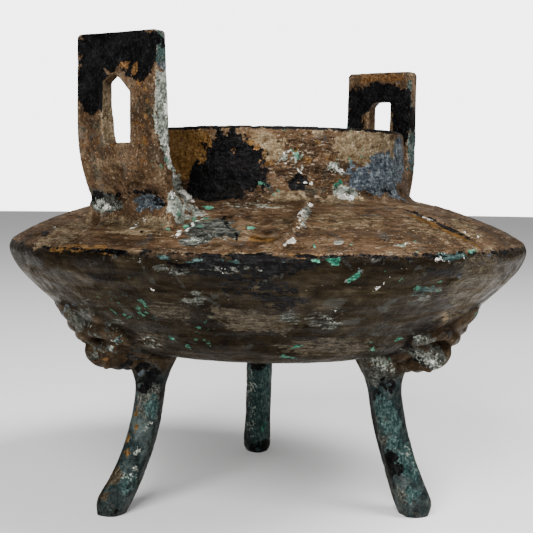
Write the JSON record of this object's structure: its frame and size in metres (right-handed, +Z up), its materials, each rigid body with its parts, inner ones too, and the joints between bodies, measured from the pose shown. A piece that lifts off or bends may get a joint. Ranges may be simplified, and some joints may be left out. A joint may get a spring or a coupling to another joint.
{
  "type": "bronze tripod ritual vessel",
  "caption": "Lens-shaped cast bronze vessel with a straight open neck and upright slotted handles, standing on curved legs that leave the bowl under beast masks.",
  "frame": {"origin": "on the vessel's turning axis, in the plane that the three feet stand on", "axes": "+Z up along the bowl's axis; the two handles stand on the X axis, their flat sides facing along X"},
  "size_m": [0.18, 0.18, 0.1568],
  "materials": {
    "patinated_bronze": "cast bronze under a matt brown, ochre, blue-black and malachite patina"
  },
  "bodies": {
    "root": {"tripod_vessel": "patinated_bronze"}
  },
  "joints": []
}
